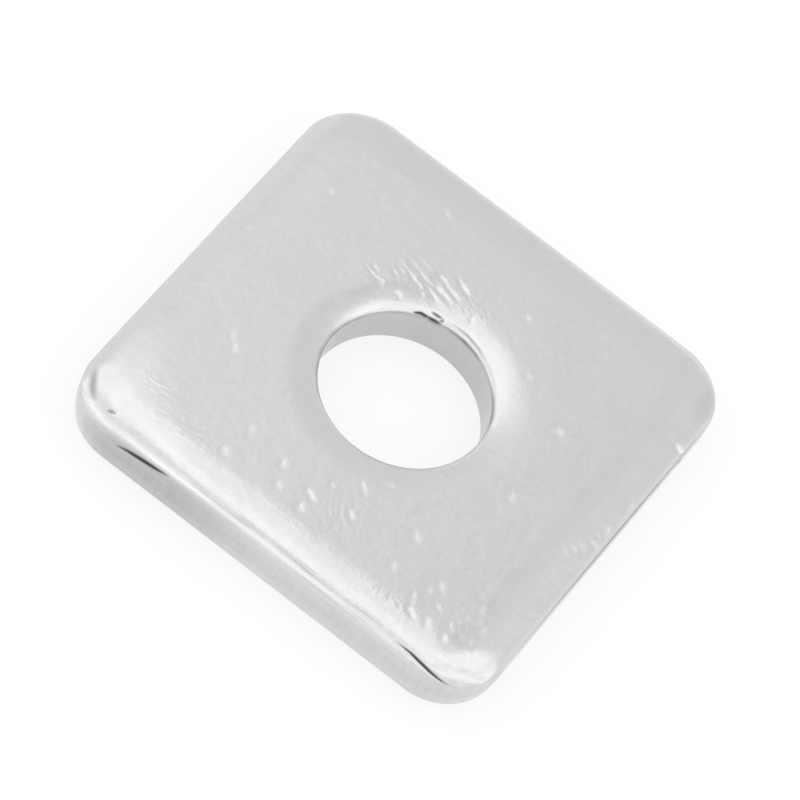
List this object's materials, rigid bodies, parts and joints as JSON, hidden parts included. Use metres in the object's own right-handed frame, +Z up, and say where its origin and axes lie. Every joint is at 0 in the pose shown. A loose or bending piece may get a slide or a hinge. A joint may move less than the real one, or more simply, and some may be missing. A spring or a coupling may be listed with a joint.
{
  "type": "square plate washer",
  "caption": "Flat square steel plate washer with rounded corners, a round bolt hole in the middle, rolled-over top edges and bright plating.",
  "frame": {"origin": "centre of the underside, on the axis of the bolt hole", "axes": "+Z up through the bolt hole, from the underside to the face with the rolled-over edges; +X and +Y along the plate's straight sides"},
  "size_m": [0.02, 0.02, 0.0021],
  "materials": {
    "zinc_plating": "bright zinc plating on steel, satin, with fine orange peel and small pits"
  },
  "bodies": {
    "root": {"plate_washer": "zinc_plating"}
  },
  "joints": []
}
